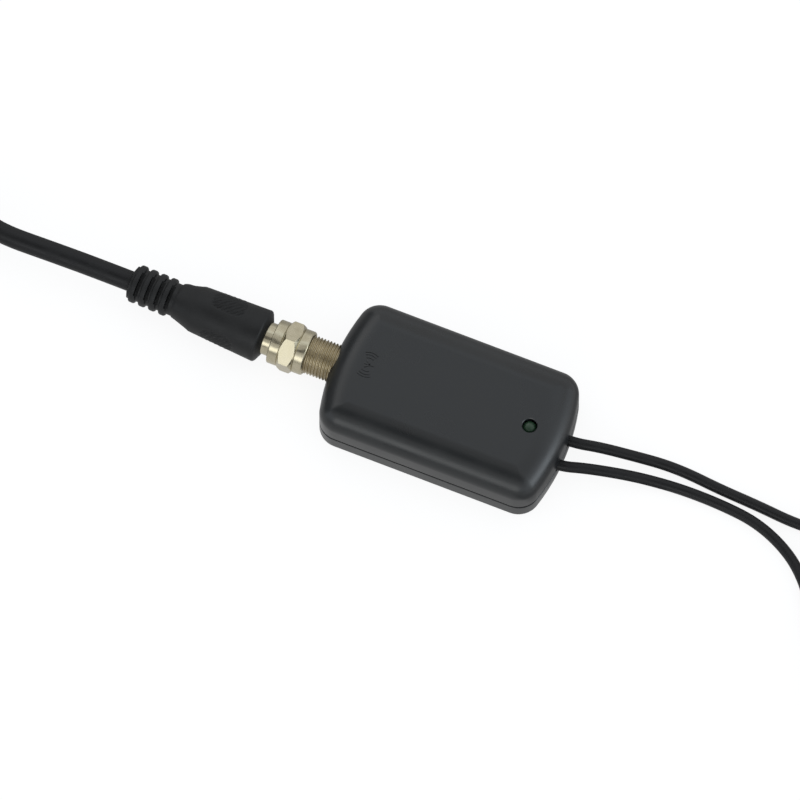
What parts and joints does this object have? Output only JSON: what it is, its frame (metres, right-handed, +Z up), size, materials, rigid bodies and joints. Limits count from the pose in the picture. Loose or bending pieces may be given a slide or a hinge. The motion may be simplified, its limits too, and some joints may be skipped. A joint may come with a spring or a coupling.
{
  "type": "rv tv antenna amplifier",
  "caption": "Inline aerial amplifier box with a threaded F jack, a screw-on coax plug and two thin leads.",
  "frame": {"origin": "centre of the housing's flat underside", "axes": "+X along the housing from the threaded jack to the leads, +Z up out of the housing's top"},
  "size_m": [0.3431, 0.0631, 0.0151],
  "materials": {
    "housing_plastic": "satin",
    "screw_steel": "zinc plated",
    "board_laminate": "solder mask",
    "chip_epoxy": "moulded",
    "ceramic": "fired",
    "ferrite": "sintered",
    "tinned_steel": "tinned",
    "can_aluminium": "drawn",
    "led_green": "clear tinted",
    "tinned_wire": "tinned",
    "nickel": "nickel plated",
    "contact_brass": "gold flashed",
    "core_copper": "copper clad",
    "white_insulator": "moulded",
    "black_nylon": "moulded",
    "cord_vinyl": "extruded satin",
    "boot_vinyl": "moulded satin",
    "usb_steel": "nickel plated"
  },
  "bodies": {
    "amplifier": {"housing_top": "housing_plastic", "housing_bottom": "housing_plastic", "case_screws": "screw_steel", "circuit_board": "board_laminate", "amplifier_chip": "chip_epoxy", "voltage_regulator": "chip_epoxy", "chip_capacitors": "ceramic", "chip_resistors": "ceramic", "bias_inductor": "ferrite", "rf_shield": "tinned_steel", "electrolytic_capacitor": "can_aluminium", "led_lens": "led_green", "led_leads": "tinned_wire", "jack_shell": "nickel", "jack_insulator": "white_insulator", "jack_contact": "contact_brass", "strain_tie": "black_nylon", "lead_cores": "tinned_wire", "solder_joints": "tinned_wire", "tv_lead": "cord_vinyl", "tv_lead_root": "cord_vinyl", "tv_plug_boot": "boot_vinyl", "tv_plug_ferrule": "nickel", "tv_plug_dielectric": "white_insulator", "tv_plug_pin": "core_copper", "usb_lead": "cord_vinyl", "usb_lead_coil": "cord_vinyl", "usb_lead_end": "cord_vinyl", "usb_plug_body": "boot_vinyl", "usb_shell": "usb_steel", "usb_tongue": "white_insulator", "usb_contacts": "contact_brass"},
    "antenna_plug": {"antenna_plug_boot": "boot_vinyl", "antenna_plug_ferrule": "nickel", "antenna_plug_dielectric": "white_insulator", "antenna_plug_pin": "core_copper", "antenna_cable_root": "cord_vinyl", "antenna_cable": "cord_vinyl", "antenna_cable_coil": "cord_vinyl", "antenna_cable_end": "cord_vinyl", "far_plug_ferrule": "nickel", "far_plug_dielectric": "white_insulator", "far_plug_pin": "core_copper"},
    "coupling_nut": {"coupling_nut": "nickel"},
    "far_nut": {"far_plug_nut": "nickel"},
    "tv_nut": {"tv_plug_nut": "nickel"}
  },
  "joints": [
    {"name": "plug_slide", "type": "slide", "parent": "amplifier", "child": "antenna_plug", "axis": [-1, 0, 0], "range_m": [0, 0.0096]},
    {"name": "nut_turn", "type": "hinge", "parent": "antenna_plug", "child": "coupling_nut", "pos_m": [-0.04, 0, 0.0073], "axis": [-1, 0, 0], "range_deg": [0, 4320]},
    {"name": "far_nut_turn", "type": "hinge", "parent": "antenna_plug", "child": "far_nut", "pos_m": [-0.19524, 0.00987, 0.00556], "axis": [-0.9903, -0.1392, 0], "continuous": true},
    {"name": "tv_nut_turn", "type": "hinge", "parent": "amplifier", "child": "tv_nut", "pos_m": [0.12838, -0.03771, 0.00556], "axis": [0.8192, -0.5736, 0], "continuous": true}
  ],
  "couplings": [
    {"joint": "plug_slide", "follows": "nut_turn", "m_per_rad": 0.00012633}
  ]
}
